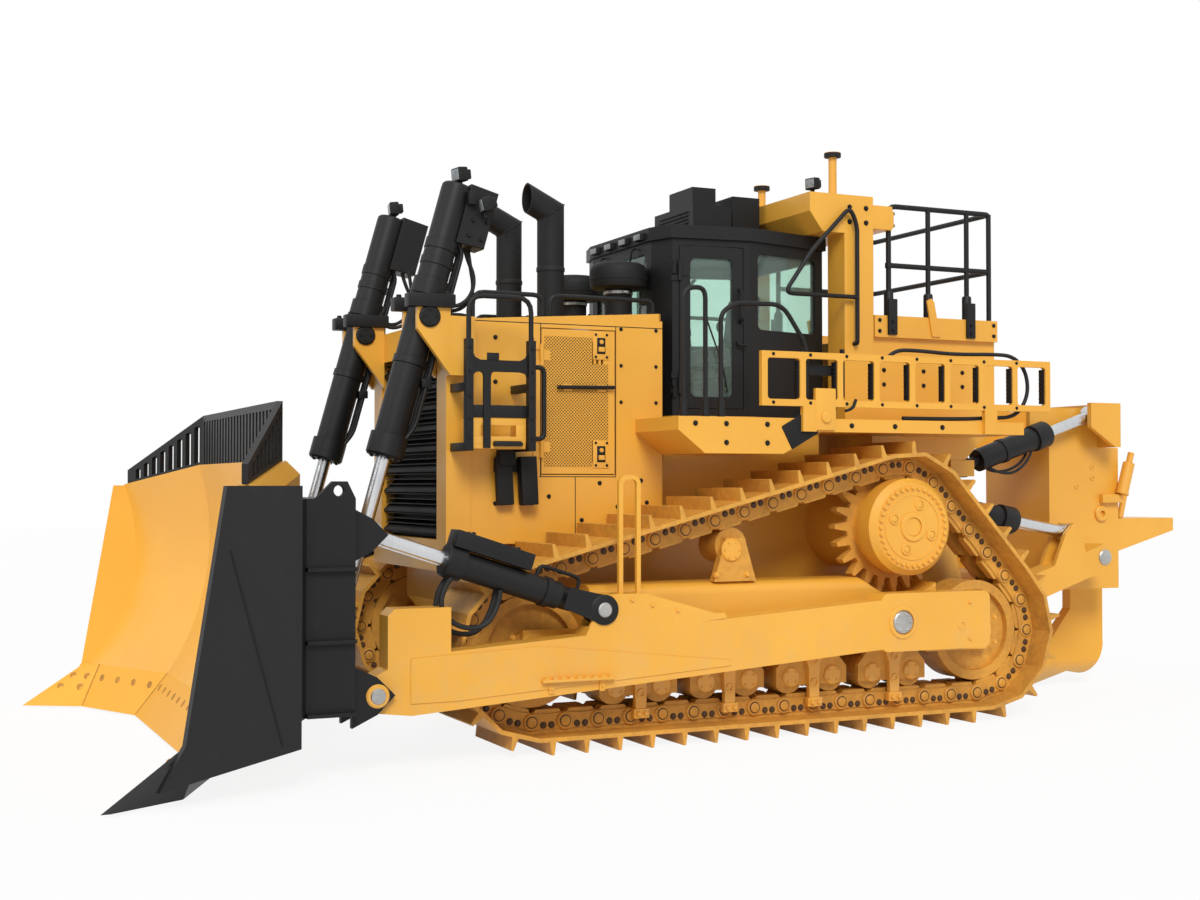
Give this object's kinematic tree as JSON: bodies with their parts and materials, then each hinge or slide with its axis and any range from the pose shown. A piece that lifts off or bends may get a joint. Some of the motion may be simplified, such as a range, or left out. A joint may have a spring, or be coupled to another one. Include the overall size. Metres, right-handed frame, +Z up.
{
  "type": "track_type_tractor",
  "caption": "Large high-drive crawler bulldozer with a curved winged blade on push arms, lift cylinders, a cab under a protective frame and a single-shank ripper at the rear.",
  "frame": {"origin": "ground level, midway between the blade's end bits and the ripper's push block, on the mid plane", "axes": "+X forward towards the blade, +Y to the operator's left, +Z up"},
  "size_m": [10.2, 4.9514, 4.7],
  "materials": {
    "yellow_paint": "semi gloss",
    "black_paint": "satin",
    "track_steel": "satin, worn on the rims",
    "chrome_rod": "polished",
    "wear_steel": "worn",
    "tinted_glass": "tinted",
    "cab_trim": "matte"
  },
  "bodies": {
    "tractor": {"track_left": "track_steel", "track_right": "track_steel", "idlers": "track_steel", "track_rollers": "track_steel", "bogies": "track_steel", "track_frames": "yellow_paint", "trunnions": "yellow_paint", "carrier_rollers": "track_steel", "sprockets": "track_steel", "final_drives": "yellow_paint", "main_case": "yellow_paint", "engine_block": "black_paint", "hood": "yellow_paint", "side_panels": "yellow_paint", "radiator_guard": "yellow_paint", "radiator_core": "black_paint", "exhaust_stacks": "black_paint", "precleaners": "black_paint", "fenders": "yellow_paint", "cab_floor": "yellow_paint", "cab_walls": "black_paint", "cab_roof": "black_paint", "cab_glass": "tinted_glass", "operator_seat": "cab_trim", "console": "cab_trim", "rops": "yellow_paint", "fuel_tank": "yellow_paint", "guardrails": "black_paint", "access_ladder": "yellow_paint", "front_steps": "black_paint", "work_lamps": "black_paint", "roof_boxes": "black_paint", "breather_posts": "black_paint", "grab_rails": "black_paint", "ripper_bracket": "yellow_paint"},
    "push_arms": {"push_arms": "yellow_paint"},
    "blade": {"moldboard": "yellow_paint", "cutting_edges": "yellow_paint", "blade_back": "black_paint", "blade_ears": "black_paint", "blade_ends": "black_paint", "rock_guard": "black_paint"},
    "brace_barrels": {"brace_barrels": "black_paint"},
    "brace_rods": {"brace_rods": "chrome_rod"},
    "lift_barrels": {"lift_barrels": "black_paint"},
    "lift_rods": {"lift_rods": "chrome_rod"},
    "engine_door_left": {"engine_door_left": "yellow_paint"},
    "engine_door_right": {"engine_door_right": "yellow_paint"},
    "cab_door_left": {"cab_door_left": "black_paint", "door_glass_left": "tinted_glass"},
    "cab_door_right": {"cab_door_right": "black_paint", "door_glass_right": "tinted_glass"},
    "ripper_link": {"ripper_link": "yellow_paint"},
    "ripper_pins": {"ripper_pins": "wear_steel"},
    "ripper_carriage": {"ripper_carriage": "yellow_paint", "ripper_shank": "wear_steel"},
    "ripper_lift_barrels": {"ripper_lift_barrels": "black_paint"},
    "ripper_lift_rods": {"ripper_lift_rods": "chrome_rod"},
    "ripper_tilt_barrels": {"ripper_tilt_barrels": "black_paint"},
    "ripper_tilt_rods": {"ripper_tilt_rods": "chrome_rod"}
  },
  "joints": [
    {"name": "blade_lift", "type": "hinge", "parent": "tractor", "child": "push_arms", "pos_m": [-0.824, 0, 0.845], "axis": [0, -1, 0], "range_deg": [-6.5, 14.5]},
    {"name": "blade_pitch", "type": "hinge", "parent": "push_arms", "child": "blade", "pos_m": [3.311, 0, 0.523], "axis": [0, 1, 0], "range_deg": [-5, 5]},
    {"name": "brace_swing", "type": "hinge", "parent": "push_arms", "child": "brace_barrels", "pos_m": [1.673, 0, 1.022], "axis": [0, 1, 0], "range_deg": [-1.2, 1.2]},
    {"name": "brace_stroke", "type": "slide", "parent": "brace_barrels", "child": "brace_rods", "axis": [0.9511, 0, 0.309], "range_m": [-0.09, 0.09]},
    {"name": "lift_swing", "type": "hinge", "parent": "tractor", "child": "lift_barrels", "pos_m": [2.65, 0, 3.1], "axis": [0, -1, 0], "range_deg": [-3, 6.2]},
    {"name": "lift_stroke", "type": "slide", "parent": "lift_barrels", "child": "lift_rods", "axis": [0.2688, 0, -0.9632], "range_m": [-1.03, 0.47]},
    {"name": "ripper_lift", "type": "hinge", "parent": "tractor", "child": "ripper_link", "pos_m": [-2.25, 0, 0.76], "axis": [0, 1, 0], "range_deg": [-40, 28]},
    {"name": "ripper_pin_turn", "type": "hinge", "parent": "ripper_link", "child": "ripper_pins", "pos_m": [-3.73, 0, 1.24], "axis": [0, 1, 0], "range_deg": [-28, 40]},
    {"name": "ripper_tilt", "type": "hinge", "parent": "ripper_pins", "child": "ripper_carriage", "pos_m": [-3.73, 0, 1.24], "axis": [0, 1, 0], "range_deg": [-8, 12]},
    {"name": "ripper_lift_swing", "type": "hinge", "parent": "tractor", "child": "ripper_lift_barrels", "pos_m": [-1.55, 0, 1.8], "axis": [0, 1, 0], "range_deg": [-22, 16]},
    {"name": "ripper_lift_stroke", "type": "slide", "parent": "ripper_lift_barrels", "child": "ripper_lift_rods", "axis": [-0.9832, 0, -0.1827], "range_m": [-0.4, 0.57]},
    {"name": "ripper_tilt_swing", "type": "hinge", "parent": "tractor", "child": "ripper_tilt_barrels", "pos_m": [-2.37, 0, 2.04], "axis": [0, 1, 0], "range_deg": [-40, 28]},
    {"name": "ripper_tilt_stroke", "type": "slide", "parent": "ripper_tilt_barrels", "child": "ripper_tilt_rods", "axis": [-0.9512, 0, 0.3085], "range_m": [-0.26, 0.18]},
    {"name": "cab_door_left", "type": "hinge", "parent": "tractor", "child": "cab_door_left", "pos_m": [0.52475, 0.8138, 3.13], "axis": [0, 0, -1], "range_deg": [0, 85]},
    {"name": "cab_door_right", "type": "hinge", "parent": "tractor", "child": "cab_door_right", "pos_m": [0.52475, -0.8138, 3.13], "axis": [0, 0, 1], "range_deg": [0, 85]},
    {"name": "engine_door_left", "type": "hinge", "parent": "tractor", "child": "engine_door_left", "pos_m": [1.734, 0.896, 2.515], "axis": [0, 0, -1], "range_deg": [0, 85]},
    {"name": "engine_door_right", "type": "hinge", "parent": "tractor", "child": "engine_door_right", "pos_m": [1.734, -0.896, 2.515], "axis": [0, 0, 1], "range_deg": [0, 85]}
  ],
  "couplings": [
    {"joint": "brace_swing", "follows": "blade_pitch", "ratio": 0.197},
    {"joint": "brace_stroke", "follows": "blade_pitch", "m_per_rad": 0.981},
    {"joint": "lift_swing", "follows": "blade_lift", "ratio": 0.41},
    {"joint": "lift_stroke", "follows": "blade_lift", "m_per_rad": -4},
    {"joint": "ripper_pin_turn", "follows": "ripper_lift", "ratio": -1},
    {"joint": "ripper_lift_swing", "follows": "ripper_lift", "ratio": 0.53},
    {"joint": "ripper_lift_stroke", "follows": "ripper_lift", "m_per_rad": -0.8},
    {"joint": "ripper_tilt_swing", "follows": "ripper_lift", "ratio": 1},
    {"joint": "ripper_tilt_stroke", "follows": "ripper_tilt", "m_per_rad": -1.18}
  ]
}
